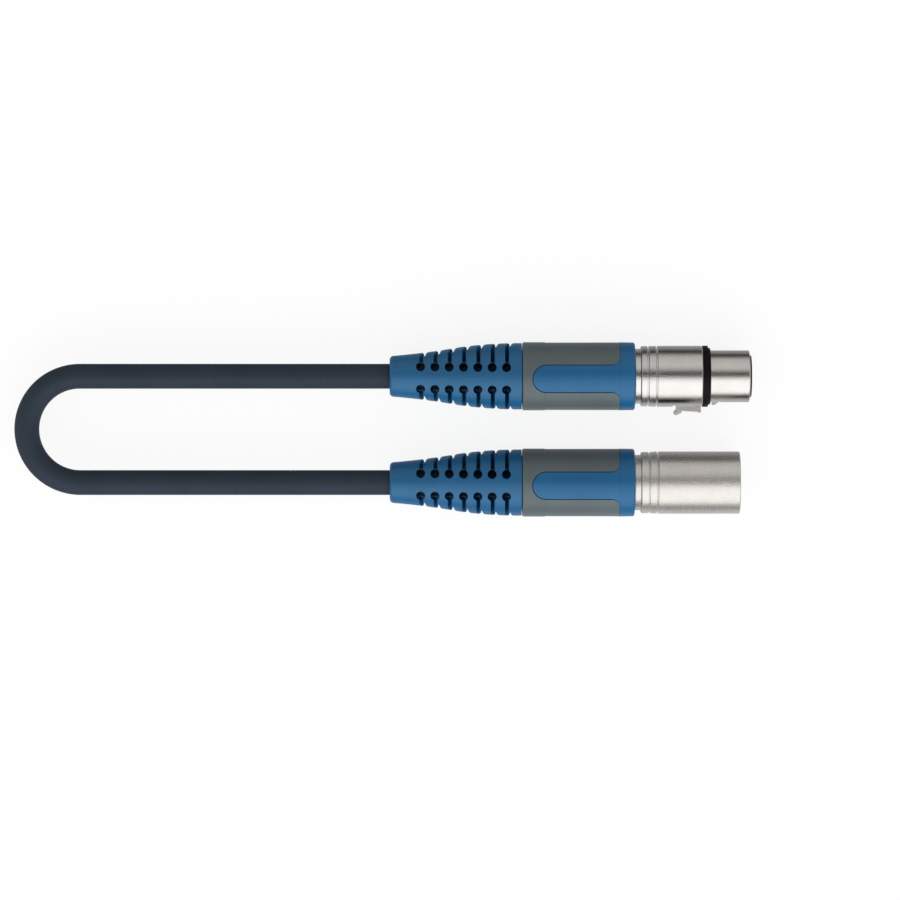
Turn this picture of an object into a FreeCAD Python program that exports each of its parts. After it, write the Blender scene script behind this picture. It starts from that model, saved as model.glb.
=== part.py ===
import FreeCAD, Part
import math
import os

import Sketcher

# Microphone cable with one three-contact female plug and one three-contact male plug.
# The cable lies flat in a U: both plugs point along +X, the female at +Y, the male at -Y.
# Frame: Z up, floor at z = 0, x = 0 halfway along the length, y = 0 between the plug axes.
# Each plug is drawn along its own axis, with u = 0 at the tail of its boot.

DOC = FreeCAD.newDocument("microphone_cable")
V = FreeCAD.Vector
os.makedirs("parts", exist_ok=True)

# ---------------------------------------------------------------- driving dimensions (mm, degrees)
DIMENSIONS = [
    # layout
    ("tail_x", 2.2), ("plug_spacing", 32.6), ("axis_height", 10.4), ("run_length", 94.55),
    # cable: jacket, braided screen, two insulated cores side by side
    ("cable_radius", 3.8), ("jacket_bore", 2.6), ("screen_radius", 2.57), ("screen_bore", 2.28),
    ("core_radius", 1.1), ("core_offset", 1.13), ("jacket_end", 69.4), ("link_half_angle", 22.5),
    ("link_socket", 4.1), ("lift_socket", 4.5), ("lift_x", -44.0), ("ball_reach", 16.0),
    # boot: flared outline, snap bead, seven slits a side that end in blind round holes
    ("boot_bore", 3.92), ("boot_tail_flat", 5.05), ("boot_tail_round", 1.2), ("boot_tail_radius", 6.25),
    ("boot_waist_u", 21.0), ("boot_waist_radius", 8.82), ("boot_hollow_arc", 216.0),
    ("boot_front_u", 40.25), ("boot_front_radius", 10.12), ("boot_crown_arc", 130.0),
    ("spigot_radius", 8.2), ("spigot_end", 48.4), ("bead_u", 43.9), ("bead_radius", 8.5),
    ("spigot_mouth", 5.2), ("slot_first", 9.45), ("slot_pitch", 4.35), ("slot_row", 3.41),
    ("slot_hole_radius", 1.35), ("slit_rear", 0.4), ("slit_front", 0.8), ("slit_root_rear", 0.55),
    ("slit_root_front", 1.25), ("slit_knee", 3.6), ("slit_web", 1.0), ("notch_start", 0.35),
    ("notch_rear", 1.0), ("notch_front", 1.55), ("notch_end", 2.65), ("notch_depth", 1.3),
    ("notch_rear_round", 0.7), ("notch_front_round", 1.3), ("slit_reach", 12.0),
    ("rim_1", 7.09), ("rim_2", 7.63), ("rim_3", 8.3), ("rim_4", 8.96), ("rim_5", 9.46),
    ("rim_6", 9.83), ("rim_7", 10.06),
    # grip sleeve and the tongues that show through it
    ("sleeve_start", 40.45), ("sleeve_end", 70.1), ("sleeve_bore", 9.34), ("sleeve_edge", 0.5),
    ("sleeve_band_radius", 10.4), ("sleeve_step_u", 47.2), ("sleeve_radius", 10.28),
    ("tongue_tip", 43.6), ("tongue_half", 4.1), ("tongue_root", 2.8), ("tongue_radius", 10.3),
    ("seam", 0.2),
    # gland nut
    ("nut_start", 40.55), ("nut_core_radius", 9.3), ("nut_tail_bore", 8.3), ("collar_start", 70.16),
    ("collar_end", 74.75), ("collar_rear_radius", 10.38), ("collar_front_radius", 10.32),
    ("collar_round", 0.7), ("nut_thread_bore", 8.4), ("nut_thread_start", 60.0),
    ("nut_cone_start", 48.6), ("nut_cone_small", 5.66), ("nut_cone_end", 56.8),
    ("nut_cone_large", 7.0), ("bead_groove", 8.62),
    # cable clamp
    ("clamp_start", 51.0), ("clamp_end", 74.0), ("clamp_bore", 3.92), ("clamp_small", 5.85),
    ("clamp_cone_end", 56.6), ("clamp_radius", 6.75), ("clamp_hollow", 5.5),
    ("clamp_hollow_start", 61.5), ("clamp_grip_end", 59.8), ("clamp_slit", 1.0),
    ("clamp_slit_end", 61.0), ("clamp_tooth", 0.35),
    # shells, shared rear end
    ("thread_start", 62.0), ("thread_radius", 7.9), ("shell_bore", 6.9), ("neck_start", 74.87),
    # female shell
    ("f_neck_radius", 8.4), ("f_ring_start", 76.45), ("f_ring_split", 78.55), ("f_ring_split_end", 78.9),
    ("f_ring_end", 81.15), ("f_body_start", 81.5), ("f_ring_radius", 9.22), ("f_groove_radius", 8.8),
    ("f_body_radius", 9.3), ("f_body_end", 95.2), ("f_nose_radius", 7.9), ("f_nose_end", 109.7),
    ("f_lip_start", 108.75), ("f_lip_bore", 6.46), ("f_nose_edge", 0.45),
    ("shoulder_round", 0.55), ("ring_round", 0.2),
    ("window_start", 86.2), ("window_half", 3.15), ("nib_window_start", 98.0),
    ("nib_window_end", 100.95), ("nib_window_half", 1.95), ("keyway_start", 101.5),
    ("keyway_half", 1.3), ("keyway_floor", 7.45),
    # seal ring
    ("seal_start", 95.25), ("seal_end", 97.7), ("seal_bore", 7.95), ("seal_radius", 9.35),
    ("seal_step_u", 97.0), ("seal_step_radius", 8.65),
    # female insert
    ("insert_start", 80.0), ("insert_radius", 6.84), ("f_face_step", 108.65), ("f_face_end", 110.25),
    ("f_face_radius", 6.4), ("contact_circle", 3.81), ("f_contact_hole", 1.8), ("f_hole_end", 108.9),
    ("f_face_hole", 1.5), ("f_face_flare", 1.85), ("latch_slot_start", 83.2), ("latch_slot_end", 101.4),
    ("latch_slot_half", 2.1), ("latch_slot_floor", 3.4), ("spring_pocket", 1.42),
    ("spring_pocket_floor", 2.5),
    # contacts
    ("cup_start", 76.0), ("cup_radius", 1.5), ("cup_bore", 1.1), ("cup_depth", 4.0),
    ("flange_start", 82.0), ("flange_end", 84.0), ("flange_radius", 1.72), ("stem_radius", 1.3),
    ("socket_start", 96.5), ("socket_end", 108.8), ("socket_radius", 1.75), ("socket_bore", 1.22),
    ("socket_depth", 10.8), ("pin_radius", 1.2), ("pin_end", 104.5), ("pin_tip", 0.9),
    ("pin_step", 92.6), ("pin_stem_radius", 1.6),
    # latch
    ("pivot_u", 85.0), ("pivot_w", 4.6), ("pivot_radius", 0.6), ("pivot_half", 4.3),
    ("eye_radius", 1.0), ("eye_bore", 0.64), ("lever_low", 5.2), ("lever_top", 6.4),
    ("lever_end", 100.4), ("lever_width", 4.0), ("tab_start", 87.45), ("tab_end", 94.85),
    ("tab_low", 7.5), ("tab_top", 10.9), ("tab_width", 6.0), ("lip_start", 86.75), ("lip_top", 11.6),
    ("nib_start", 98.3), ("nib_end", 100.3), ("nib_top", 8.65), ("nib_width", 3.4), ("tooth_pitch", 0.75),
    ("tooth_depth", 0.32),
    ("spring_u", 91.5), ("spring_coil", 1.05), ("spring_wire", 0.17), ("spring_height", 2.3),
    ("spring_pitch", 0.6),
    # male shell
    ("m_neck_radius", 8.45), ("m_ring_start", 76.65), ("m_ring_split", 79.05), ("m_ring_split_end", 79.4),
    ("m_ring_end", 81.6), ("m_body_start", 81.95), ("m_ring_radius", 9.36), ("m_groove_radius", 8.95),
    ("m_body_radius", 9.5), ("m_body_end", 106.9), ("m_wall_start", 90.6), ("m_wall_bore", 6.3),
    ("m_mouth_floor", 92.5), ("m_mouth_bore", 8.05), ("m_edge", 0.45), ("recess_start", 104.1),
    ("recess_end", 106.35), ("recess_half", 2.2), ("recess_floor", 8.9), ("key_start", 95.5),
    ("key_end", 106.0), ("key_half", 1.0), ("key_top", 7.6),
    # male insert
    ("m_insert_step", 90.5), ("m_face_end", 92.5), ("m_face_radius", 6.25), ("m_pin_hole", 1.65),
    ("m_rear_hole", 1.8), ("m_rear_hole_end", 84.15),
    # leads inside the plugs
    ("lead_start", 69.5), ("lead_radius", 0.8), ("drain_radius", 0.5), ("lead_straight", 0.5),
    ("lead_curve", 5.4), ("lead_tip", 3.6), ("lead_tip_radius", 0.45), ("drain_y", 1.75),
    ("drain_z", 0.9),
]
SHEET = DOC.addObject("Spreadsheet::Sheet", "Sizes")
for row, (alias, number) in enumerate(DIMENSIONS, start=1):
    SHEET.set("A%d" % row, alias)
    SHEET.set("B%d" % row, str(number))
    SHEET.setAlias("B%d" % row, alias)
DOC.recompute()


class Size:
    """A length with its present number and the sheet expression that drives it."""

    def __init__(self, number, text):
        self.number = float(number)
        self.text = text

    def _with(self, other, sign, number):
        other = as_size(other)
        return Size(number(self.number, other.number), "(%s %s %s)" % (self.text, sign, other.text))

    def __add__(self, other):
        return self._with(other, "+", lambda a, b: a + b)

    def __sub__(self, other):
        return self._with(other, "-", lambda a, b: a - b)

    def __mul__(self, other):
        return self._with(other, "*", lambda a, b: a * b)

    def __truediv__(self, other):
        return self._with(other, "/", lambda a, b: a / b)

    def __neg__(self):
        return as_size(0) - self

    __radd__ = __add__
    __rmul__ = __mul__


def as_size(value):
    return value if isinstance(value, Size) else Size(value, repr(float(value)))


D = {alias: Size(number, "Sizes." + alias) for alias, number in DIMENSIONS}


def bind(thing, prop, value):
    """Set a property through its expression, so that it follows the sheet."""
    thing.setExpression(prop, as_size(value).text)


def place(thing, x, y, z, axis=None, angle=0):
    """Put a sub-part at (x, y, z), turned about one axis of the frame."""
    if axis:
        thing.Placement = FreeCAD.Placement(V(0, 0, 0), FreeCAD.Rotation(V(*axis), float(angle)))
    for name, value in (("x", x), ("y", y), ("z", z)):
        bind(thing, "Placement.Base." + name, value)


# ---------------------------------------------------------------- sketches and features
def new_body(label):
    body = DOC.addObject("PartDesign::Body", label)
    body.Label = label
    return body


def new_sketch(body, role, lift=0):
    """An empty sketch on one of the body's own origin planes, moved out along its normal."""
    planes = {item.Role: item for item in body.Origin.OriginFeatures}
    sketch = body.newObject("Sketcher::SketchObject", "Sketch")
    sketch.AttachmentSupport = [(planes[role], "")]
    sketch.MapMode = "FlatFace"
    if as_size(lift).number:
        bind(sketch, "AttachmentOffset.Base.z", lift)
    return sketch


def pin_point(geometry, end, x, y):
    """Rules that fix one point of a sketch at (x, y) from its origin."""
    rules = []
    for kind, value in (("DistanceX", as_size(x)), ("DistanceY", as_size(y))):
        rules.append((Sketcher.Constraint(kind, -1, 1, geometry, end, value.number), value.text))
    return rules


def constrain(sketch, rules):
    """Add a list of (constraint, expression) rules; a rule with no expression is fixed."""
    numbers = sketch.addConstraint([rule for rule, _ in rules])
    for number, (_, text) in zip(numbers, rules):
        if text not in (None, "0.0"):
            sketch.setExpression("Constraints[%d]" % number, text)


def edge_to(sketch, start, step, rules):
    """Add the edge from start to step; step[2], if given, is an arc's radius, + turning left."""
    a = V(as_size(start[0]).number, as_size(start[1]).number, 0)
    b = V(as_size(step[0]).number, as_size(step[1]).number, 0)
    if len(step) == 2:
        return sketch.addGeometry(Part.LineSegment(a, b), False), 1, 2
    radius = as_size(step[2])
    turn = 1 if radius.number > 0 else -1
    chord = b - a
    half = chord.Length / 2
    rise = math.sqrt(max(radius.number ** 2 - half ** 2, 0))
    centre = (a + b) * 0.5 + V(-chord.y, chord.x, 0).normalize() * rise * turn
    first, last = (a, b) if turn > 0 else (b, a)
    begin = math.atan2(first.y - centre.y, first.x - centre.x)
    finish = math.atan2(last.y - centre.y, last.x - centre.x)
    if finish < begin:
        finish += 2 * math.pi
    circle = Part.Circle(centre, V(0, 0, 1), abs(radius.number))
    index = sketch.addGeometry(Part.ArcOfCircle(circle, begin, finish), False)
    rules.append((Sketcher.Constraint("Radius", index, abs(radius.number)),
                  radius.text if turn > 0 else (-radius).text))
    return (index, 1, 2) if turn > 0 else (index, 2, 1)


def draw(sketch, steps, closed=True):
    """Draw an outline through the steps; each step is (x, y) or (x, y, arc radius)."""
    targets = list(steps[1:]) + ([steps[0][:2]] if closed else [])
    edges, rules = [], []
    start = steps[0]
    for step in targets:
        edges.append(edge_to(sketch, start, step, rules))
        start = step
    for number, (index, head, tail) in enumerate(edges):
        rules += pin_point(index, head, steps[number][0], steps[number][1])
        if closed or number + 1 < len(edges):
            after = edges[(number + 1) % len(edges)]
            rules.append((Sketcher.Constraint("Coincident", index, tail, after[0], after[1]), None))
        else:
            rules += pin_point(index, tail, steps[-1][0], steps[-1][1])
    constrain(sketch, rules)
    return sketch


def draw_circle(sketch, x, y, radius):
    centre = V(as_size(x).number, as_size(y).number, 0)
    index = sketch.addGeometry(Part.Circle(centre, V(0, 0, 1), as_size(radius).number), False)
    size = (Sketcher.Constraint("Radius", index, as_size(radius).number), as_size(radius).text)
    constrain(sketch, [size] + pin_point(index, 3, x, y))
    return sketch


def box_steps(x0, y0, x1, y1):
    return [(x0, y0), (x1, y0), (x1, y1), (x0, y1)]


def revolve(body, steps):
    """Turn an outline drawn in (u, radius) about the body's X axis."""
    sketch = draw(new_sketch(body, "XY_Plane"), steps)
    feature = body.newObject("PartDesign::Revolution", "Revolution")
    feature.Profile = sketch
    feature.ReferenceAxis = (sketch, ["H_Axis"])
    feature.Angle = 360
    DOC.recompute()
    return feature


def pad(body, sketch, length, midplane=True):
    feature = body.newObject("PartDesign::Pad", "Pad")
    feature.Profile = sketch
    feature.Midplane = midplane
    bind(feature, "Length", length)
    DOC.recompute()
    return feature


def cut(body, kind, sketch, **settings):
    """Cut with a Pocket or Groove and insist that it removed material."""
    DOC.recompute()
    before = body.Shape.Volume
    feature = body.newObject("PartDesign::" + kind, kind)
    feature.Profile = sketch
    for name, value in settings.items():
        if isinstance(value, Size):
            bind(feature, name, value)
        else:
            setattr(feature, name, value)
    DOC.recompute()
    assert body.Shape.Volume < before - 0.01, body.Label + ": a cut missed"
    return feature


def through(body, sketch):
    """Pocket right through the body, both ways from the sketch."""
    return cut(body, "Pocket", sketch, Type="ThroughAll", Midplane=True)


def mirror(body, features, plane):
    """Repeat cuts on the other side of one of the body's planes."""
    before = body.Shape.Volume
    both = body.newObject("PartDesign::Mirrored", "Mirrored")
    both.Originals = features
    both.MirrorPlane = (plane, [""])
    body.Tip = both
    DOC.recompute()
    assert body.Shape.Volume < before - 0.01, body.Label + ": a mirrored cut missed"


# ---------------------------------------------------------------- pieces common to both plugs
def notch(sketch, u, rim, rise, side):
    """Mouth of one slit seen from above: it rounds the ribs' corners on both sides of a gap."""
    start, rear = D["notch_start"], D["notch_rear"]
    front, end, deep = D["notch_front"], D["notch_end"], rim - D["notch_depth"]
    draw(sketch, [
        (u + start, (rim + 1) * side),
        (u + start, (rim + rise * 0.08) * side),
        (u + rear, (rim - 0.6) * side, D["notch_rear_round"] * -side),
        (u + rear + 0.12, deep * side),
        (u + rear + 0.26, deep * side),
        (u + front, (rim - 0.6) * side),
        (u + end, (rim + rise * 0.6) * side, D["notch_front_round"] * -side),
        (u + end, (rim + 1) * side),
    ])


def boot(name, at):
    """Flared rubber boot; its slots let it bend, and a bead snaps it into the nut."""
    body = new_body(name)
    bead = D["bead_u"]
    revolve(body, [
        (0, D["boot_bore"]),
        (0, D["boot_tail_flat"]),
        (D["boot_tail_round"], D["boot_tail_radius"], -D["boot_tail_round"]),
        (D["boot_waist_u"], D["boot_waist_radius"], D["boot_hollow_arc"]),
        (D["boot_front_u"], D["boot_front_radius"], -D["boot_crown_arc"]),
        (D["boot_front_u"], D["spigot_radius"]),
        (bead, D["spigot_radius"]),
        (bead + 0.3, D["bead_radius"]),
        (bead + 1.3, D["bead_radius"]),
        (bead + 1.9, D["spigot_radius"]),
        (D["spigot_end"], D["spigot_radius"]),
        (D["spigot_end"], D["spigot_mouth"]),
        (D["boot_front_u"], D["boot_bore"]),
    ])
    planes = {item.Role: item for item in body.Origin.OriginFeatures}
    holes = new_sketch(body, "XY_Plane", D["slit_reach"])
    rims = [D["rim_%d" % number] for number in range(1, 8)] + [D["boot_front_radius"]]
    slits = []
    for number in range(7):
        u = D["slot_first"] + D["slot_pitch"] * number
        rim, rise = rims[number], rims[number + 1] - rims[number]
        mouth = new_sketch(body, "XY_Plane")
        slit = new_sketch(body, "XZ_Plane", D["slit_reach"])
        for side in (1, -1):
            notch(mouth, u, rim, rise, side)
            draw(slit, [
                (u - D["slit_rear"], D["slit_reach"] * side),
                (u - D["slit_rear"], D["slit_knee"] * side),
                (u + D["slit_root_rear"], D["slit_web"] * side),
                (u + D["slit_root_front"], D["slit_web"] * side),
                (u + D["slit_front"], D["slit_knee"] * side),
                (u + D["slit_front"], D["slit_reach"] * side),
            ])
            draw_circle(holes, u, D["slot_row"] * side, D["slot_hole_radius"])
        through(body, mouth)
        slits.append(cut(body, "Pocket", slit, Length=D["slit_reach"] - D["slot_row"]))
    mirror(body, slits, planes["XZ_Plane"])
    hole = cut(body, "Pocket", holes, Length=D["slit_reach"] - D["slit_web"])
    mirror(body, [hole], planes["XY_Plane"])
    place(body, *at)
    return body


def tongue_outline(sketch, grow):
    """Tongue seen from above: round tip, parallel sides, roots that spread into the collar."""
    half = D["tongue_half"] + grow
    root = D["tongue_root"] - grow
    tip = D["tongue_tip"] - grow
    front = D["collar_start"]
    draw(sketch, [
        (front + 1, -half - root),
        (front + 1, half + root),
        (front, half + root),
        (front - root, half, -root),
        (tip + half, half),
        (tip, 0, half),
        (tip + half, -half, half),
        (front - root, -half),
        (front, -half - root, -root),
    ])
    return sketch


def grip_sleeve(name, at):
    """Grey sleeve over the nut, open above and below for the tongues."""
    body = new_body(name)
    edge = D["sleeve_edge"]
    revolve(body, [
        (D["sleeve_start"], D["sleeve_bore"]),
        (D["sleeve_start"], D["sleeve_band_radius"] - edge),
        (D["sleeve_start"] + edge, D["sleeve_band_radius"], -edge),
        (D["sleeve_step_u"], D["sleeve_band_radius"]),
        (D["sleeve_step_u"] + 0.25, D["sleeve_radius"]),
        (D["sleeve_end"], D["sleeve_radius"] + 0.04),
        (D["sleeve_end"], D["sleeve_bore"]),
    ])
    through(body, tongue_outline(new_sketch(body, "XY_Plane"), D["seam"]))
    place(body, *at)
    return body


def gland_nut(name, at):
    """Nut with a threaded bore, a cone that closes the clamp, a collar and two tongues."""
    core = new_body(name + "_core")
    bead = D["bead_u"]
    revolve(core, [
        (D["nut_start"], D["nut_tail_bore"]),
        (D["nut_start"], D["nut_core_radius"]),
        (D["collar_start"], D["nut_core_radius"]),
        (D["collar_start"], D["collar_rear_radius"]),
        (D["collar_end"] - D["collar_round"], D["collar_front_radius"]),
        (D["collar_end"], D["collar_front_radius"] - D["collar_round"], -D["collar_round"]),
        (D["collar_end"], D["nut_thread_bore"] + 0.3),
        (D["collar_end"] - 0.3, D["nut_thread_bore"]),
        (D["nut_thread_start"], D["nut_thread_bore"]),
        (D["nut_thread_start"], D["nut_cone_large"]),
        (D["nut_cone_end"], D["nut_cone_large"]),
        (D["nut_cone_start"], D["nut_cone_small"]),
        (D["nut_cone_start"], D["nut_tail_bore"]),
        (bead + 2, D["nut_tail_bore"]),
        (bead + 1.4, D["bead_groove"]),
        (bead + 0.2, D["bead_groove"]),
        (bead - 0.1, D["nut_tail_bore"]),
    ])
    ring = new_body(name + "_ring")
    revolve(ring, box_steps(D["tongue_tip"] - 1, D["nut_core_radius"] - 0.3, D["collar_start"] + 1,
                            D["tongue_radius"]))
    prism = new_body(name + "_prism")
    pad(prism, tongue_outline(new_sketch(prism, "XY_Plane"), 0), 30)
    tongues = DOC.addObject("Part::Common", name + "_tongues")
    tongues.Base, tongues.Tool = ring, prism
    for piece in (core, ring, prism):
        place(piece, *at)
    nut = DOC.addObject("Part::Fuse", name)
    nut.Base, nut.Tool = core, tongues
    nut.Label = name
    return nut


def cable_clamp(name, at):
    """Slit clamp: the nut's cone closes its four fingers on the jacket."""
    body = new_body(name)
    tooth = D["clamp_tooth"]
    teeth = []
    for number in range(4):
        u = D["clamp_start"] + 1.4 + 2 * number
        teeth += [(u, D["clamp_bore"]), (u + 0.4, D["clamp_bore"] + tooth),
                  (u + 1.2, D["clamp_bore"] + tooth), (u + 1.2, D["clamp_bore"])]
    revolve(body, teeth + [
        (D["clamp_grip_end"], D["clamp_bore"]),
        (D["clamp_hollow_start"], D["clamp_hollow"]),
        (D["clamp_end"], D["clamp_hollow"]),
        (D["clamp_end"], D["clamp_radius"]),
        (D["clamp_cone_end"], D["clamp_radius"]),
        (D["clamp_start"], D["clamp_small"]),
        (D["clamp_start"], D["clamp_bore"]),
    ])
    for role in ("XY_Plane", "XZ_Plane"):
        slit = draw(new_sketch(body, role), box_steps(
            D["clamp_start"] - 1, -D["clamp_slit"] / 2, D["clamp_slit_end"], D["clamp_slit"] / 2))
        through(body, slit)
    place(body, *at)
    return body


def contact(name, at, steps):
    """Turned contact on its own axis, with a hollow solder cup behind and a flange."""
    body = new_body(name)
    cup = [
        (D["cup_start"] + D["cup_depth"], 0),
        (D["cup_start"] + D["cup_depth"], D["cup_bore"]),
        (D["cup_start"], D["cup_bore"]),
        (D["cup_start"], D["cup_radius"]),
        (D["flange_start"], D["cup_radius"]),
        (D["flange_start"], D["flange_radius"]),
        (D["flange_end"], D["flange_radius"]),
    ]
    revolve(body, cup + steps)
    place(body, *at)
    return body


def lead(name, at, start, finish, radius):
    """Insulated lead from the cable's end (y, z) to a contact's (y, z), with a bare soldered tip."""
    dy = as_size(finish[0]).number - as_size(start[0]).number
    dz = as_size(finish[1]).number - as_size(start[1]).number
    shift = Size(math.hypot(dy, dz), "sqrt((%s)^2 + (%s)^2)" % (
        (as_size(finish[0]) - start[0]).text, (as_size(finish[1]) - start[1]).text))
    body = new_body(name)
    run, curve = D["lead_straight"], D["lead_curve"]
    bend = (curve * curve + shift * shift) / (shift * 4)
    path = draw(new_sketch(body, "XY_Plane"), [
        (0, 0),
        (run, 0),
        (run + curve / 2, shift / 2, bend),
        (run + curve, shift, -bend),
        (run + curve + 0.4, shift),
    ], closed=False)
    profile = draw_circle(new_sketch(body, "YZ_Plane"), 0, 0, radius)
    DOC.recompute()
    pipe = body.newObject("PartDesign::AdditivePipe", "Pipe")
    pipe.Profile = profile
    pipe.Spine = (path, ["Edge1", "Edge2", "Edge3", "Edge4"])
    DOC.recompute()
    planes = {item.Role: item for item in body.Origin.OriginFeatures}
    tip = body.newObject("PartDesign::AdditiveCylinder", "Tip")
    tip.AttachmentSupport = [(planes["XY_Plane"], "")]
    tip.MapMode = "FlatFace"
    tip.AttachmentOffset = FreeCAD.Placement(V(0, 0, 0), FreeCAD.Rotation(V(0, 1, 0), 90))
    bind(tip, "AttachmentOffset.Base.x", run + curve + 0.2)
    bind(tip, "AttachmentOffset.Base.y", shift)
    bind(tip, "Radius", D["lead_tip_radius"])
    bind(tip, "Height", D["lead_tip"])
    x, y, z = at
    place(body, x + D["lead_start"], y + start[0], z + start[1], (1, 0, 0),
          math.degrees(math.atan2(dz, dy)))
    return body


# ---------------------------------------------------------------- female plug
def rings(neck, start, split, split_end, end, groove, low, high, body_start):
    """Outline of the two turned rings between the neck and the shell's body."""
    soft, lip = D["shoulder_round"], D["ring_round"]
    return [
        (D["neck_start"], D["thread_radius"]),
        (D["neck_start"], neck),
        (start, neck),
        (start, low - soft),
        (start + soft, low, -soft),
        (split - lip, low),
        (split, low - lip, -lip),
        (split, groove),
        (split_end, groove),
        (split_end, low - lip),
        (split_end + lip, low, -lip),
        (end - lip, high),
        (end, high - lip, -lip),
        (end, groove),
        (body_start, groove),
        (body_start, high - lip),
        (body_start + lip, high, -lip),
    ]


def female_shell(name, at):
    """Nickel shell with the seal-ring seat, the nose, the latch window and a keyway below."""
    body = new_body(name)
    edge = D["f_nose_edge"]
    revolve(body, [
        (D["thread_start"], D["shell_bore"]),
        (D["thread_start"], D["thread_radius"] - 0.4),
        (D["thread_start"] + 0.4, D["thread_radius"]),
    ] + rings(D["f_neck_radius"], D["f_ring_start"], D["f_ring_split"], D["f_ring_split_end"],
              D["f_ring_end"], D["f_groove_radius"], D["f_ring_radius"], D["f_body_radius"],
              D["f_body_start"]) + [
        (D["f_body_end"] - 0.2, D["f_body_radius"]),
        (D["f_body_end"], D["f_body_radius"] - 0.2),
        (D["f_body_end"], D["f_nose_radius"]),
        (D["f_nose_end"] - edge, D["f_nose_radius"]),
        (D["f_nose_end"], D["f_nose_radius"] - edge, -edge),
        (D["f_nose_end"], D["f_lip_bore"]),
        (D["f_lip_start"], D["f_lip_bore"]),
        (D["f_lip_start"], D["shell_bore"]),
    ])
    window = draw(new_sketch(body, "XZ_Plane", 12), box_steps(
        D["window_start"], -D["window_half"], D["f_body_end"], D["window_half"]))
    cut(body, "Pocket", window, Length=6)
    nib = draw(new_sketch(body, "XZ_Plane", 12), box_steps(
        D["nib_window_start"], -D["nib_window_half"], D["nib_window_end"], D["nib_window_half"]))
    cut(body, "Pocket", nib, Length=6)
    keyway = draw(new_sketch(body, "XY_Plane", -D["keyway_floor"]), box_steps(
        D["keyway_start"], -D["keyway_half"], D["f_nose_end"] + 1, D["keyway_half"]))
    cut(body, "Pocket", keyway, Length=2)
    place(body, *at)
    return body


def seal_ring(name, at):
    body = new_body(name)
    revolve(body, [
        (D["seal_start"], D["seal_bore"]),
        (D["seal_start"], D["seal_radius"] - 0.35),
        (D["seal_start"] + 0.35, D["seal_radius"], -0.35),
        (D["seal_step_u"] - 0.15, D["seal_radius"]),
        (D["seal_step_u"], D["seal_radius"] - 0.15),
        (D["seal_step_u"], D["seal_step_radius"]),
        (D["seal_end"] - 0.25, D["seal_step_radius"]),
        (D["seal_end"], D["seal_step_radius"] - 0.25, -0.25),
        (D["seal_end"], D["seal_bore"]),
    ])
    place(body, *at)
    return body


def contact_holes(body, places, start, end, radius):
    """Round holes along the plug's axis at the contact positions."""
    sketch = new_sketch(body, "YZ_Plane", end)
    for y, z in places:
        draw_circle(sketch, y, z, radius)
    cut(body, "Pocket", sketch, Length=end - start)


def insert_steps(face_step, face_end, face_radius):
    return [
        (D["insert_start"], 0),
        (D["insert_start"], D["insert_radius"] - 0.4),
        (D["insert_start"] + 0.4, D["insert_radius"]),
        (face_step, D["insert_radius"]),
        (face_step, face_radius),
        (face_end - 0.25, face_radius),
        (face_end, face_radius - 0.25, -0.25),
        (face_end, 0),
    ]


def female_insert(name, at, places):
    """Black insert: three contact holes and a slot along its side for the latch lever."""
    body = new_body(name)
    revolve(body, insert_steps(D["f_face_step"], D["f_face_end"], D["f_face_radius"]))
    contact_holes(body, places, D["insert_start"] - 1, D["f_hole_end"], D["f_contact_hole"])
    contact_holes(body, places, D["f_hole_end"] - 1, D["f_face_end"] + 1, D["f_face_hole"])
    contact_holes(body, places, D["f_face_end"] - 0.35, D["f_face_end"] + 1, D["f_face_flare"])
    slot = draw(new_sketch(body, "XZ_Plane", 9), box_steps(
        D["latch_slot_start"], -D["latch_slot_half"], D["latch_slot_end"], D["latch_slot_half"]))
    cut(body, "Pocket", slot, Length=-D["latch_slot_floor"] + 9)
    seat = draw_circle(new_sketch(body, "XZ_Plane", 9), D["spring_u"], 0, D["spring_pocket"])
    cut(body, "Pocket", seat, Length=-D["spring_pocket_floor"] + 9)
    bore = draw_circle(new_sketch(body, "XY_Plane"), D["pivot_u"], -D["pivot_w"], D["pivot_radius"] + 0.03)
    cut(body, "Pocket", bore, Midplane=True, Length=D["pivot_half"] * 2 + 0.2)
    place(body, *at)
    return body


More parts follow.
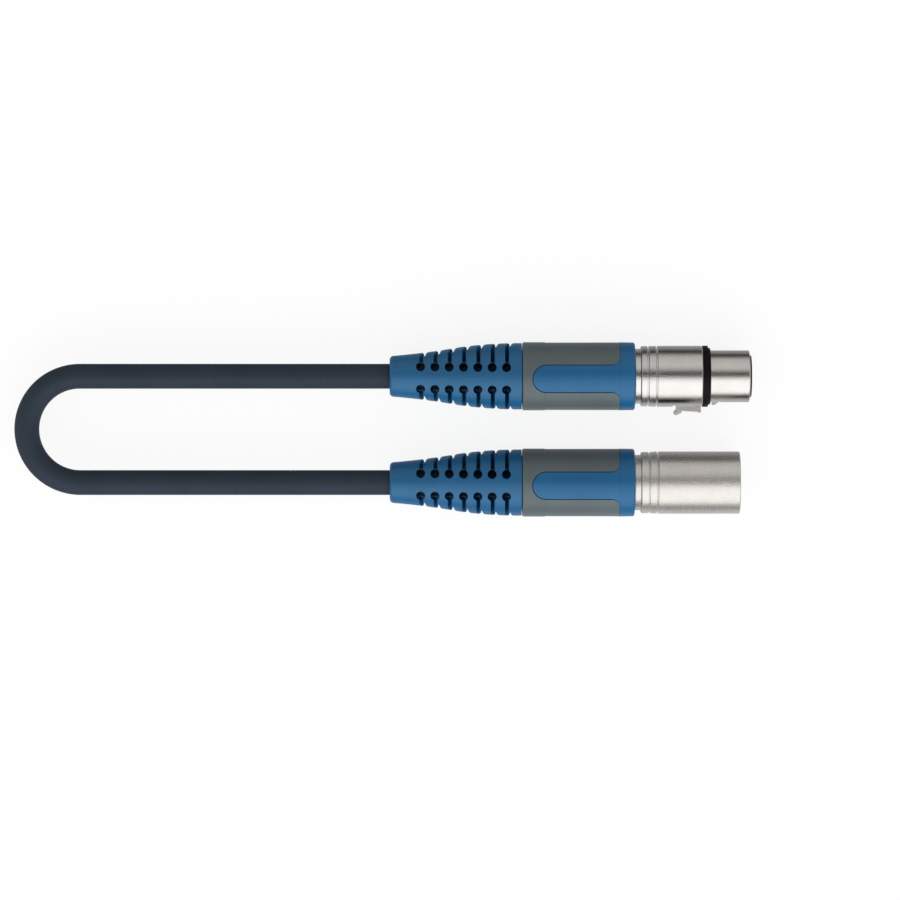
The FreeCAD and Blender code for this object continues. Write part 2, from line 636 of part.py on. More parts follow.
def latch(name, at):
    """Push latch in one piece: eye, lever, thumb tab with ribs and lip, and locking nib."""
    body = new_body(name)
    u, w, eye = D["pivot_u"], D["pivot_w"], D["eye_radius"]
    pad(body, draw(new_sketch(body, "XY_Plane"), [
        (u - eye, w),
        (u, w - eye, eye),
        (u + eye, w, eye),
        (u + eye + 0.6, D["lever_low"]),
        (D["lever_end"], D["lever_low"]),
        (D["lever_end"], D["lever_top"]),
        (D["tab_end"], D["lever_top"]),
        (D["tab_end"], D["tab_low"] + 0.2),
        (D["tab_start"], D["tab_low"] + 0.2),
        (D["tab_start"], D["lever_top"]),
        (u - eye, D["lever_top"]),
    ]), D["lever_width"])
    top, rib = D["tab_top"], D["tooth_depth"]
    ribs = []
    for number in range(7):
        start = D["tab_end"] - 0.7 - D["tooth_pitch"] * number
        crest = top - 0.05 * number
        ribs += [(start, crest), (start - 0.22, crest - rib), (start - 0.5, crest - rib)]
    pad(body, draw(new_sketch(body, "XY_Plane"), [
        (D["tab_start"], D["tab_low"]),
        (D["tab_end"], D["tab_low"]),
        (D["tab_end"], top - 0.4),
        (D["tab_end"] - 0.4, top, 0.4),
    ] + ribs + [
        (D["tab_start"] + 1.5, top),
        (D["lip_start"] + 0.9, D["lip_top"]),
        (D["lip_start"], D["lip_top"]),
        (D["lip_start"], D["lip_top"] - 0.5),
        (D["tab_start"], top - 0.6),
    ]), D["tab_width"])
    pad(body, draw(new_sketch(body, "XY_Plane"), [
        (D["nib_start"], D["lever_top"] - 0.3),
        (D["nib_end"], D["lever_top"] - 0.3),
        (D["nib_end"], D["nib_top"] - 0.9),
        (D["nib_start"] + 0.7, D["nib_top"]),
        (D["nib_start"], D["nib_top"]),
    ]), D["nib_width"])
    bore = draw_circle(new_sketch(body, "XY_Plane"), u, w, D["eye_bore"])
    through(body, bore)
    place(body, *at, (1, 0, 0), 180)
    return body


def rod(name, radius, height, x, y, z, axis=None, angle=0):
    piece = DOC.addObject("Part::Cylinder", name)
    piece.Label = name
    bind(piece, "Radius", radius)
    bind(piece, "Height", height)
    place(piece, x, y, z, axis, angle)
    return piece


def latch_spring(name, at):
    """Coil spring under the lever, standing in its pocket in the insert."""
    body = new_body(name)
    profile = draw_circle(new_sketch(body, "XZ_Plane"), D["spring_coil"], 0, D["spring_wire"])
    DOC.recompute()
    planes = {item.Role: item for item in body.Origin.OriginFeatures}
    helix = body.newObject("PartDesign::AdditiveHelix", "Helix")
    helix.Profile = profile
    helix.ReferenceAxis = (planes["Z_Axis"], [""])
    helix.Mode = 0
    bind(helix, "Pitch", D["spring_pitch"])
    bind(helix, "Height", D["spring_height"])
    x, y, z = at
    low = D["spring_pocket_floor"] + D["spring_wire"] + 0.02
    place(body, x + D["spring_u"], y - low, z, (1, 0, 0), 90)
    return body


# ---------------------------------------------------------------- male plug
def male_shell(name, at):
    """Nickel shell whose mouth surrounds the pins, with the latch recess and the key inside."""
    body = new_body(name)
    edge = D["m_edge"]
    revolve(body, [
        (D["thread_start"], D["shell_bore"]),
        (D["thread_start"], D["thread_radius"] - 0.4),
        (D["thread_start"] + 0.4, D["thread_radius"]),
    ] + rings(D["m_neck_radius"], D["m_ring_start"], D["m_ring_split"], D["m_ring_split_end"],
              D["m_ring_end"], D["m_groove_radius"], D["m_ring_radius"], D["m_body_radius"],
              D["m_body_start"]) + [
        (D["m_body_end"] - edge, D["m_body_radius"]),
        (D["m_body_end"], D["m_body_radius"] - edge, -edge),
        (D["m_body_end"], D["m_mouth_bore"] + 0.3),
        (D["m_body_end"] - 0.3, D["m_mouth_bore"]),
        (D["m_mouth_floor"], D["m_mouth_bore"]),
        (D["m_mouth_floor"], D["m_wall_bore"]),
        (D["m_wall_start"], D["m_wall_bore"]),
        (D["m_wall_start"], D["shell_bore"]),
    ])
    recess = draw(new_sketch(body, "XZ_Plane", D["recess_floor"]), box_steps(
        D["recess_start"], -D["recess_half"], D["recess_end"], D["recess_half"]))
    cut(body, "Pocket", recess, Length=2)
    key = draw(new_sketch(body, "XY_Plane", D["key_top"]), box_steps(
        D["key_start"], -D["key_half"], D["key_end"], D["key_half"]))
    pad(body, key, 0.9, midplane=False)
    place(body, *at)
    return body


def male_insert(name, at, places):
    """Black insert that holds the three pins; its face closes the floor of the mouth."""
    body = new_body(name)
    revolve(body, insert_steps(D["m_insert_step"], D["m_face_end"], D["m_face_radius"]))
    contact_holes(body, places, D["insert_start"] - 1, D["m_rear_hole_end"], D["m_rear_hole"])
    contact_holes(body, places, D["m_rear_hole_end"] - 1, D["m_face_end"] + 1, D["m_pin_hole"])
    place(body, *at)
    return body


# ---------------------------------------------------------------- cable
def tube_part(name, kind, radius, outer):
    """Cylinder or torus of the given radius; outer sizes the other dimension."""
    piece = DOC.addObject("Part::" + kind, name)
    bind(piece, "Radius2" if kind == "Torus" else "Radius", radius)
    for prop, value in outer.items():
        if isinstance(value, Size):
            bind(piece, prop, value)
        else:
            setattr(piece, prop, value)
    return piece


LEVEL = D["axis_height"]
BEND = D["plug_spacing"] / 2
BEND_X = D["tail_x"] - D["run_length"]


def arc(name, radius, lift, start, sweep):
    """Length of round rod that follows the bend from one angle through the next."""
    piece = tube_part(name, "Torus", radius, {"Radius1": BEND, "Angle1": -180, "Angle2": 180})
    piece.Angle3 = sweep
    place(piece, BEND_X, 0, LEVEL + lift, (0, 0, 1), start)
    return piece


def straight(name, radius, lift, side, x0, x1):
    piece = tube_part(name, "Cylinder", radius, {"Height": x1 - x0})
    place(piece, x0, BEND * side, LEVEL + lift, (0, 1, 0), 90)
    return piece


def ball(name, radius, x, y, half=None):
    """Sphere, or the half of one whose flat faces away from the given direction."""
    piece = DOC.addObject("Part::Sphere", name)
    bind(piece, "Radius", radius)
    place(piece, x, y, LEVEL)
    if half is not None:
        piece.Angle1 = 0
        turn = FreeCAD.Rotation(V(0, 0, 1), half) * FreeCAD.Rotation(V(0, 1, 0), 90)
        piece.Placement = FreeCAD.Placement(piece.Placement.Base, turn)
    return piece


def boolean(kind, name, base, tool):
    result = DOC.addObject("Part::" + kind, name)
    result.Base, result.Tool = base, tool
    return result


def fuse_all(name, pieces):
    result = pieces[0]
    for number, piece in enumerate(pieces[1:]):
        result = boolean("Fuse", "%s_%d" % (name, number), result, piece)
    return result


def on_bend(side, angle):
    """Centreline point of the bend; the angle runs from its crown to the start of the run."""
    turn = math.radians(angle)
    reach = Size(math.cos(turn), "cos(%g deg)" % angle)
    drift = Size(math.sin(turn), "sin(%g deg)" % angle)
    return BEND_X - BEND * reach, BEND * drift * side


def cable_link(name, side, arc_span, run_span, joint_balls, joint_sockets):
    """One length of cable as four solids: jacket, screen, hot core and cold core.

    It follows the bend over arc_span degrees and the run over run_span in x. Each joint to a
    further link ends in a ball, and the further link is hollowed by a slightly larger one.
    """
    def pieces(tag, radius, lift, extra):
        made = []
        if arc_span:
            first, last = arc_span
            low = first - (extra if first in joint_balls else 0)
            high = last + (extra if last in joint_balls else 0)
            start = 180 - high if side > 0 else 180 + low
            made.append(arc("%s_%s_arc" % (name, tag), radius, lift, start, high - low))
        if run_span:
            x0, x1 = run_span
            x1 = x1 + (4 if extra and "run" in joint_balls else 0)
            made.append(straight("%s_%s_run" % (name, tag), radius, lift, side, x0, x1))
        return fuse_all("%s_%s" % (name, tag), made)

    reach = D["ball_reach"].number
    body = [pieces("hull", D["cable_radius"], 0, 0)]
    for joint, heading in joint_balls.items():
        x, y = (D["lift_x"], BEND * side) if joint == "run" else on_bend(side, joint)
        body.append(ball("%s_ball_%s" % (name, str(joint).replace("-", "m").replace(".", "_")),
                         D["cable_radius"], x, y, heading))
    hull = fuse_all(name + "_hull_whole", body)
    for joint in joint_sockets:
        x, y = (D["lift_x"], BEND * side) if joint == "run" else on_bend(side, joint)
        radius = D["lift_socket"] if joint == "run" else D["link_socket"]
        hull = boolean("Cut", name + "_hull_cut", hull, ball(name + "_socket", radius, x, y))

    solids = {}
    layers = {
        "jacket": (D["cable_radius"], D["jacket_bore"], 0),
        "screen": (D["screen_radius"], D["screen_bore"], 0),
        "hot_core": (D["core_radius"], None, D["core_offset"]),
        "cold_core": (D["core_radius"], None, -D["core_offset"]),
    }
    for layer, (outer, bore, lift) in layers.items():
        solid = pieces(layer + "_out", outer, lift, reach)
        if bore:
            solid = boolean("Cut", "%s_%s_tube" % (name, layer), solid,
                            pieces(layer + "_in", bore, lift, reach))
        node = boolean("Common", "%s_%s" % (layer, name), solid, hull)
        node.Label = "%s_%s" % (layer, name)
        solids[layer] = node
    return list(solids.values())


# ---------------------------------------------------------------- assembly
PLUGS = {}
NODES = []
for sex, side in (("female", 1), ("male", -1)):
    axis_y = D["plug_spacing"] / 2 * side
    at = (D["tail_x"], axis_y, LEVEL)
    circle = D["contact_circle"]
    turn = side
    places = {"1": (0, circle * turn), "2": (0, -circle * turn), "3": (circle, 0)}
    NODES += [
        boot(sex + "_boot", at),
        grip_sleeve(sex + "_grip_sleeve", at),
        gland_nut(sex + "_gland_nut", at),
        cable_clamp(sex + "_cable_clamp", at),
    ]
    hot, cold = -D["core_offset"] * side, D["core_offset"] * side
    drain = (-D["drain_y"], D["drain_z"] * side)
    NODES += [
        lead(sex + "_lead_hot", at, (0, hot), places["2"], D["lead_radius"]),
        lead(sex + "_lead_cold", at, (0, cold), places["3"], D["lead_radius"]),
        lead(sex + "_lead_screen", at, drain, places["1"], D["drain_radius"]),
    ]
    for number, (y, z) in places.items():
        spot = (at[0], at[1] + y, at[2] + z)
        if sex == "female":
            NODES.append(contact("female_socket_" + number, spot, [
                (D["flange_end"], D["stem_radius"]),
                (D["socket_start"], D["stem_radius"]),
                (D["socket_start"], D["socket_radius"]),
                (D["socket_end"], D["socket_radius"]),
                (D["socket_end"], D["socket_bore"] + 0.25),
                (D["socket_end"] - 0.25, D["socket_bore"]),
                (D["socket_end"] - D["socket_depth"], D["socket_bore"]),
                (D["socket_end"] - D["socket_depth"], 0),
            ]))
        else:
            NODES.append(contact("male_pin_" + number, spot, [
                (D["flange_end"], D["pin_stem_radius"]),
                (D["pin_step"], D["pin_stem_radius"]),
                (D["pin_step"], D["pin_radius"]),
                (D["pin_end"] - D["pin_tip"], D["pin_radius"]),
                (D["pin_end"], D["pin_radius"] - D["pin_tip"], -D["pin_tip"]),
                (D["pin_end"], 0),
            ]))
    if sex == "female":
        NODES += [
            female_shell("female_shell", at),
            seal_ring("female_seal_ring", at),
            female_insert("female_insert", at, places.values()),
            latch("female_latch", at),
            latch_spring("female_latch_spring", at),
            rod("female_latch_pin", D["pivot_radius"], D["pivot_half"] * 2, at[0] + D["pivot_u"],
                at[1] - D["pivot_w"], at[2] - D["pivot_half"]),
        ]
    else:
        NODES += [
            male_shell("male_shell", at),
            male_insert("male_insert", at, places.values()),
        ]

ONE = D["link_half_angle"].number
TWO = 3 * ONE
NODES += cable_link("middle", 1, (-ONE, ONE), None, {ONE: 90 - ONE, -ONE: ONE - 90}, [])
for sex, side in (("female", 1), ("male", -1)):
    NODES += cable_link(sex + "_bend", side, (ONE, TWO), None, {TWO: (90 - TWO) * side}, [ONE])
    NODES += cable_link(sex + "_run", side, (TWO, 90), (BEND_X, D["lift_x"]), {"run": 0}, [TWO])
    NODES += cable_link(sex + "_plug", side, None, (D["lift_x"], D["tail_x"] + D["jacket_end"]),
                        {}, ["run"])

DOC.recompute()

# ---------------------------------------------------------------- checks and files
for item in DOC.Objects:
    assert "Invalid" not in item.State and "Error" not in item.State, (item.Name, item.State)
for node in NODES:
    shape = node.Shape
    assert not shape.isNull() and shape.isValid(), node.Label + " is not a valid shape"
    assert len(shape.Solids) == 1, "%s has %d solids" % (node.Label, len(shape.Solids))
    shape.exportStep("parts/%s.step" % node.Label)
print("%d sub-parts written" % len(NODES))
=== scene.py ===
import math

import bmesh
import bpy
from mathutils import Matrix, Vector


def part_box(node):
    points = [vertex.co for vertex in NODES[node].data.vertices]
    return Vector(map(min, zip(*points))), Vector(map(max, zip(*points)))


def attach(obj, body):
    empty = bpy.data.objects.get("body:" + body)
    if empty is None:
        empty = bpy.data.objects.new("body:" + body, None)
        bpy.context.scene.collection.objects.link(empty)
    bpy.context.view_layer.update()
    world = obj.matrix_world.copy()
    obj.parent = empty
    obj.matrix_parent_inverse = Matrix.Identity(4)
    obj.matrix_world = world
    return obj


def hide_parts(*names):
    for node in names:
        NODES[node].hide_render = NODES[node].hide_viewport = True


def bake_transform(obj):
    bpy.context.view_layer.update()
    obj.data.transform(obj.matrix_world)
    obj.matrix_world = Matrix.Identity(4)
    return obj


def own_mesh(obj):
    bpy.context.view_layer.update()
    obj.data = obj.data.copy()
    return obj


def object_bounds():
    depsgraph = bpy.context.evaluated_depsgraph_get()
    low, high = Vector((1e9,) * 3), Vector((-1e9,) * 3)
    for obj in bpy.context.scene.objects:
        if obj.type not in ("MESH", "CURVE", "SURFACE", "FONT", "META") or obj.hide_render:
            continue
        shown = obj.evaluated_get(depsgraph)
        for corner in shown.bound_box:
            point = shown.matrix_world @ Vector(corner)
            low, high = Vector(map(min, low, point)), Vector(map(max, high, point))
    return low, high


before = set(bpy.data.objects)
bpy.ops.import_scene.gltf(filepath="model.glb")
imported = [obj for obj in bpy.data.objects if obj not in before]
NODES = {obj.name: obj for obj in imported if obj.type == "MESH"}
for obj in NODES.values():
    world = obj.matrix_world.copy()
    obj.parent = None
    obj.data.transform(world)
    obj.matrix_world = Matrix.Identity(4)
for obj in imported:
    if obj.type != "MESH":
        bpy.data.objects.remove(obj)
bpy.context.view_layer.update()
MM = 0.001

# ------------------------------------------------------------------ layout, from the frame
# The cable lies in a U: the female plug at +Y, the male at -Y, both pointing along +X. Lengths
# along a plug are measured from TAIL_X, the tail of its boot.
grip_lo, grip_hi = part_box("female_grip_sleeve")
jacket_lo, jacket_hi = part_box("jacket_middle")
TAIL_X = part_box("female_boot")[0].x
AXIS_Z = (grip_lo.z + grip_hi.z) / 2
SIDE_Y = (grip_lo.y + grip_hi.y) / 2
CABLE_R = (jacket_hi.z - jacket_lo.z) / 2
BEND_R = SIDE_Y
BEND_X = jacket_lo.x + CABLE_R + BEND_R
LIFT_X = -44.0 * MM
JACKET_WALL = 1.1 * MM
JACKET_END = 69.4 * MM
FLEX_HALF = 17.0 * MM
SIDES = (("female", 1), ("male", -1))


# ------------------------------------------------------------------ material nodes
def srgb(r, g, b):
    """A colour given as 0 to 255 screen values, as the linear colour that Blender takes."""
    def lin(c):
        c /= 255
        return c / 12.92 if c <= 0.04045 else ((c + 0.055) / 1.055) ** 2.4
    return (lin(r), lin(g), lin(b), 1.0)


class Mat:
    """A node material built up a step at a time."""

    def __init__(self, name):
        self.mat = bpy.data.materials.new(name)
        self.mat.use_nodes = True
        self.tree = self.mat.node_tree
        self.bsdf = self.tree.nodes["Principled BSDF"]
        self.normal = None

    def add(self, kind, **values):
        node = self.tree.nodes.new(kind)
        for key, value in values.items():
            if key in node.inputs:
                node.inputs[key].default_value = value
            else:
                setattr(node, key, value)
        return node

    def link(self, a, b):
        self.tree.links.new(a, b)

    def set(self, **values):
        for key, value in values.items():
            self.bsdf.inputs[key.replace("_", " ")].default_value = value
        return self

    def coords(self, scale=(1, 1, 1)):
        where = self.add("ShaderNodeTexCoord")
        mapping = self.add("ShaderNodeMapping")
        mapping.inputs["Scale"].default_value = scale
        self.link(where.outputs["Object"], mapping.inputs["Vector"])
        return mapping.outputs["Vector"]

    def noise(self, scale, detail=3.0, rough=0.5, stretch=(1, 1, 1)):
        node = self.add("ShaderNodeTexNoise", Scale=scale, Detail=detail, Roughness=rough)
        self.link(self.coords(stretch), node.inputs["Vector"])
        return node.outputs["Fac"]

    def ramp(self, fac, low, high):
        node = self.add("ShaderNodeMapRange")
        node.inputs["From Min"].default_value, node.inputs["From Max"].default_value = 0.3, 0.7
        node.inputs["To Min"].default_value, node.inputs["To Max"].default_value = low, high
        self.link(fac, node.inputs["Value"])
        return node.outputs["Result"]

    def vary_colour(self, fac, dark, light):
        node = self.add("ShaderNodeMix", data_type="RGBA")
        node.inputs["A"].default_value, node.inputs["B"].default_value = dark, light
        self.link(fac, node.inputs["Factor"])
        self.link(node.outputs["Result"], self.bsdf.inputs["Base Color"])
        return node

    def bump(self, fac, height, strength=1.0):
        node = self.add("ShaderNodeBump", Strength=strength, Distance=height)
        self.link(fac, node.inputs["Height"])
        if self.normal is not None:
            self.link(self.normal, node.inputs["Normal"])
        self.normal = node.outputs["Normal"]
        return self

    def soften(self, radius):
        """Round the shading of hard edges."""
        node = self.add("ShaderNodeBevel", samples=6, Radius=radius)
        if self.normal is not None:
            raise ValueError("soften comes before bump")
        self.normal = node.outputs["Normal"]
        return self

    def done(self):
        if self.normal is not None:
            self.link(self.normal, self.bsdf.inputs["Normal"])
        return self.mat


def moulded(name, dark, light, roughness, grain=900.0, height=0.02 * MM, edge=0.18 * MM,
            specular=0.3, sheen=(1, 1, 1, 1)):
    """Moulded plastic or rubber: fine grain, slow colour drift, softened edges, tinted sheen."""
    m = Mat(name).set(Roughness=roughness)
    m.bsdf.inputs["Specular IOR Level"].default_value = specular
    m.bsdf.inputs["Specular Tint"].default_value = sheen
    m.soften(edge)
    fine = m.noise(grain * 2.2, 2.0, 0.6)
    slow = m.noise(90.0, 3.0, 0.55)
    m.vary_colour(m.ramp(slow, 0.2, 0.8), dark, light)
    m.link(m.ramp(fine, roughness - 0.06, roughness + 0.08), m.bsdf.inputs["Roughness"])
    m.bump(fine, height, 0.6)
    return m.done()


def plated(name, dark, light, smoothest, roughest, height, metallic=1.0):
    """Satin plated metal: very fine blasted grain, faint turning lines, uneven sheen."""
    m = Mat(name).set(Metallic=metallic)
    m.soften(0.12 * MM)
    fine = m.noise(3800.0, 3.0, 0.7)
    speckle = m.noise(2300.0, 2.0, 0.6)
    patch = m.noise(160.0, 4.0, 0.6)
    turned = m.noise(2600.0, 2.0, 0.5, (1, 0.02, 0.02))
    m.vary_colour(m.ramp(patch, 0.0, 1.0), dark, light)
    m.link(m.ramp(fine, smoothest, roughest), m.bsdf.inputs["Roughness"])
    m.bump(fine, height, 0.8)
    m.bump(speckle, height * 1.6)
    m.bump(turned, height * 0.5, 0.5)
    return m.done()


def drawn(name, dark, light, metallic, roughness):
    """Drawn wire, a turned contact or a core's coat: slow colour drift and a faint grain."""
    m = Mat(name).set(Metallic=metallic, Roughness=roughness)
    drift = m.noise(500.0, 3.0, 0.5)
    m.vary_colour(m.ramp(drift, 0.1, 0.9), dark, light)
    m.bump(m.noise(2500.0, 2.0, 0.5), 0.01 * MM, 0.4)
    return m.done()


def braid(name):
    """Woven copper screen: two crossing sets of fine strands, lighter along their crests and darker in
    the gaps between them as painted shade.
    """
    m = Mat(name).set(Metallic=1.0, Roughness=0.38)
    waves = []
    for angle in (math.radians(38), math.radians(-38)):
        where = m.add("ShaderNodeTexCoord")
        mapping = m.add("ShaderNodeMapping")
        mapping.inputs["Rotation"].default_value = (0, 0, angle)
        m.link(where.outputs["Object"], mapping.inputs["Vector"])
        wave = m.add("ShaderNodeTexWave", Scale=900.0, Distortion=0.6)
        wave.inputs["Detail"].default_value = 1.0
        m.link(mapping.outputs["Vector"], wave.inputs["Vector"])
        waves.append(wave.outputs["Fac"])
    both = m.add("ShaderNodeMath", operation="MAXIMUM")
    m.link(waves[0], both.inputs[0])
    m.link(waves[1], both.inputs[1])
    # Painted shade: the copper goes from a lit tone on the strand crests to a dark tone in the gaps
    # between the strands.
    m.vary_colour(both.outputs[0], (0.22, 0.10, 0.05, 1), (0.72, 0.42, 0.26, 1))
    m.bump(both.outputs[0], 0.06 * MM)
    return m.done()


BLUE_SHEEN = (0.7, 0.93, 1.0, 1)
MATS = {
    "boot": moulded("boot_rubber", srgb(3, 80, 124), srgb(6, 88, 136), 0.4, grain=700,
                    height=0.03 * MM, edge=0.3 * MM, specular=0.75, sheen=BLUE_SHEEN),
    "nut": moulded("nut_plastic", srgb(3, 82, 128), srgb(6, 90, 139), 0.36, height=0.015 * MM,
                   edge=0.25 * MM, specular=0.7, sheen=BLUE_SHEEN),
    "sleeve": moulded("sleeve_plastic", srgb(80, 91, 94), srgb(87, 98, 101), 0.36, grain=800,
                      edge=0.25 * MM, specular=0.45),
    "clamp": moulded("clamp_plastic", srgb(52, 54, 56), srgb(60, 62, 64), 0.5),
    "insert": moulded("insert_plastic", srgb(10, 10, 11), srgb(17, 17, 18), 0.42, grain=1000,
                      height=0.012 * MM, edge=0.15 * MM),
    "seal": moulded("seal_rubber", srgb(5, 5, 6), srgb(10, 10, 10), 0.5, grain=1200,
                    edge=0.15 * MM, specular=0.15),
    "jacket": moulded("jacket_rubber", srgb(36, 47, 58), srgb(43, 54, 66), 0.55, grain=600,
                      height=0.03 * MM, edge=0.1 * MM, specular=0.2),
    "shell": plated("shell_nickel", (0.70, 0.685, 0.66, 1), (0.75, 0.735, 0.71, 1), 0.11, 0.18,
                    0.03 * MM),
    "barrel": plated("barrel_nickel", (0.68, 0.655, 0.62, 1), (0.74, 0.715, 0.68, 1), 0.24, 0.33,
                     0.034 * MM, metallic=0.82),
    "latch": plated("latch_nickel", (0.42, 0.41, 0.40, 1), (0.54, 0.53, 0.51, 1), 0.2, 0.32,
                    0.045 * MM),
    "contact": drawn("contact_silver", (0.62, 0.6, 0.55, 1), (0.78, 0.76, 0.7, 1), 1.0, 0.2),
    "spring": drawn("spring_steel", (0.4, 0.4, 0.41, 1), (0.52, 0.52, 0.53, 1), 1.0, 0.25),
    "hot": drawn("core_red", srgb(150, 26, 24), srgb(172, 38, 34), 0.0, 0.4),
    "cold": drawn("core_white", srgb(214, 212, 204), srgb(228, 227, 220), 0.0, 0.4),
    "drain": drawn("drain_black", srgb(20, 20, 21), srgb(30, 30, 32), 0.0, 0.45),
    "screen": braid("screen_copper"),
}

# The first of these that is part of a node's name gives its material.
MATERIAL_KEYS = (
    ("male_pin_", "contact"), ("female_socket", "contact"), ("jacket_", "jacket"),
    ("screen_", "screen"), ("hot_core", "hot"), ("cold_core", "cold"), ("lead_hot", "hot"),
    ("lead_cold", "cold"), ("lead_screen", "drain"), ("_boot", "boot"), ("_gland_nut", "nut"),
    ("_grip_sleeve", "sleeve"), ("_cable_clamp", "clamp"), ("female_shell", "shell"),
    ("male_shell", "barrel"), ("_insert", "insert"), ("_seal_ring", "seal"),
    ("_latch_spring", "spring"), ("_latch_pin", "spring"), ("_latch", "latch"),
)


def material_of(node):
    for part, key in MATERIAL_KEYS:
        if part in node:
            return MATS[key]
    raise ValueError(node)


# The two plugs' metalwork doesn't show in each other's reflections.
for name in ("female_seal_ring", "female_shell", "female_latch", "male_shell"):
    NODES[name].visible_glossy = False

for name, obj in NODES.items():
    if obj.data.materials:
        for index in range(len(obj.data.materials)):
            obj.data.materials[index] = material_of(name)
    else:
        obj.data.materials.append(material_of(name))


# ------------------------------------------------------------------ cable jacket
def mesh_piece(name, verts, faces, material):
    """A new smooth-shaded object in the row's material slot."""
    data = bpy.data.meshes.new(name)
    data.from_pydata([tuple(v) for v in verts], [], faces)
    data.update()
    shell = bmesh.new()
    shell.from_mesh(data)
    bmesh.ops.recalc_face_normals(shell, faces=shell.faces)
    shell.to_mesh(data)
    shell.free()
    for poly in data.polygons:
        poly.use_smooth = True
    data.set_sharp_from_angle(angle=math.radians(50))
    obj = bpy.data.objects.new(name, data)
    bpy.context.scene.collection.objects.link(obj)
    data.materials.append(material)
    return obj


QUARTER = BEND_R * math.pi / 2


def centreline(side, s):
    """Point and heading at a distance s from the crown of the bend, along one side of the U."""
    if s <= QUARTER:
        a = s / BEND_R
        return (Vector((BEND_X - BEND_R * math.cos(a), side * BEND_R * math.sin(a), AXIS_Z)),
                Vector((math.sin(a), side * math.cos(a), 0)))
    return Vector((BEND_X + s - QUARTER, side * BEND_R, AXIS_Z)), Vector((1, 0, 0))


def jacket(name, side, s0, s1, step):
    """A closed length of jacket with a wall, from s0 to s1 along one side."""
    count = max(2, int(math.ceil((s1 - s0) / step)))
    around = 64
    stations = [(CABLE_R, s0 + (s1 - s0) * i / count) for i in range(count + 1)]
    stations += [(CABLE_R - JACKET_WALL, s) for _, s in reversed(stations)]
    verts, faces = [], []
    for radius, s in stations:
        point, heading = centreline(side, s)
        across = Vector((0, 0, 1)).cross(heading)
        for k in range(around):
            a = 2 * math.pi * k / around
            verts.append(point + across * radius * math.cos(a) + Vector((0, 0, 1)) * radius * math.sin(a))
    rows = len(stations)
    for i in range(rows - 1):
        for k in range(around):
            a, b = i * around + k, i * around + (k + 1) % around
            c, d = b + around, a + around
            faces.append((a, b, c, d))
    for k in range(around):
        a, b = (rows - 1) * around + k, (rows - 1) * around + (k + 1) % around
        c, d = (k + 1) % around, k
        faces.append((a, b, c, d))
    return mesh_piece(name, verts, faces, MATS["jacket"])


# Distances from the crown: half the bend, both ends of the stretch that lifts, and the cable's end.
HALF = QUARTER / 2
LIFT_S = QUARTER + LIFT_X - BEND_X
FLEX_START, FLEX_END = LIFT_S - FLEX_HALF, LIFT_S + FLEX_HALF
END_S = QUARTER + (TAIL_X + JACKET_END) - BEND_X
for sex, side in SIDES:
    crown = jacket("cable_jacket_%s_crown" % sex, side, 0, HALF, 0.6 * MM)
    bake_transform(crown)
    bend = jacket("cable_jacket_%s_bend" % sex, side, HALF, QUARTER, 0.6 * MM)
    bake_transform(bend)
    run = jacket("cable_jacket_%s_run" % sex, side, QUARTER, FLEX_START, 2.0 * MM)
    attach(run, sex + "_run")
    flex = jacket("cable_jacket_%s_flex" % sex, side, FLEX_START, FLEX_END, 0.8 * MM)
    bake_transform(flex)
    end = jacket("cable_jacket_%s_end" % sex, side, FLEX_END, END_S, 2.0 * MM)
    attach(end, sex + "_plug")
    if sex == "female":
        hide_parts("jacket_middle")
    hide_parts("jacket_%s_bend" % sex)
    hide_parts("jacket_%s_run" % sex)
    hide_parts("jacket_%s_plug" % sex)


# ------------------------------------------------------------------ screw thread on each shell
THREAD_PITCH = 1.0 * MM
THREAD_START = 62.7 * MM
THREAD_TURNS = 11.4
THREAD_ROOT = 7.85 * MM
THREAD_HEIGHT = 0.38 * MM
THREAD_FOOT_HALF = 0.36 * MM
THREAD_CREST_HALF = 0.09 * MM


def thread(name, side):
    """Helical ridge on the rear of the shell, fading out over half a turn at both ends."""
    steps = 72
    total = int(THREAD_TURNS * steps)
    verts, faces = [], []
    for i in range(total + 1):
        a = 2 * math.pi * i / steps
        fade = min(1.0, i / (steps * 0.5), (total - i) / (steps * 0.5))
        x = TAIL_X + THREAD_START + THREAD_PITCH * i / steps
        for shift, rise in ((-THREAD_FOOT_HALF, 0.0), (-THREAD_CREST_HALF, fade),
                            (THREAD_CREST_HALF, fade), (THREAD_FOOT_HALF, 0.0)):
            r = THREAD_ROOT + THREAD_HEIGHT * rise
            verts.append((x + shift, SIDE_Y * side + r * math.cos(a), AXIS_Z + r * math.sin(a)))
    for i in range(total):
        for k in range(4):
            a, b = i * 4 + k, i * 4 + (k + 1) % 4
            faces.append((a, a + 4, b + 4, b))
    faces += [(0, 1, 2, 3), tuple(total * 4 + k for k in (3, 2, 1, 0))]
    return mesh_piece(name, verts, faces, MATS["shell"])


for sex, side in SIDES:
    ridge = thread(sex + "_shell_thread", side)
    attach(ridge, sex + "_plug")


# ------------------------------------------------------------------ latch spring
SPRING_X = TAIL_X + 91.5 * MM
SPRING_FOOT = 2.52 * MM
SPRING_RADIUS = 1.05 * MM
SPRING_WIRE = 0.17 * MM
SPRING_PITCH = 0.6 * MM
SPRING_HEIGHT = 2.3 * MM


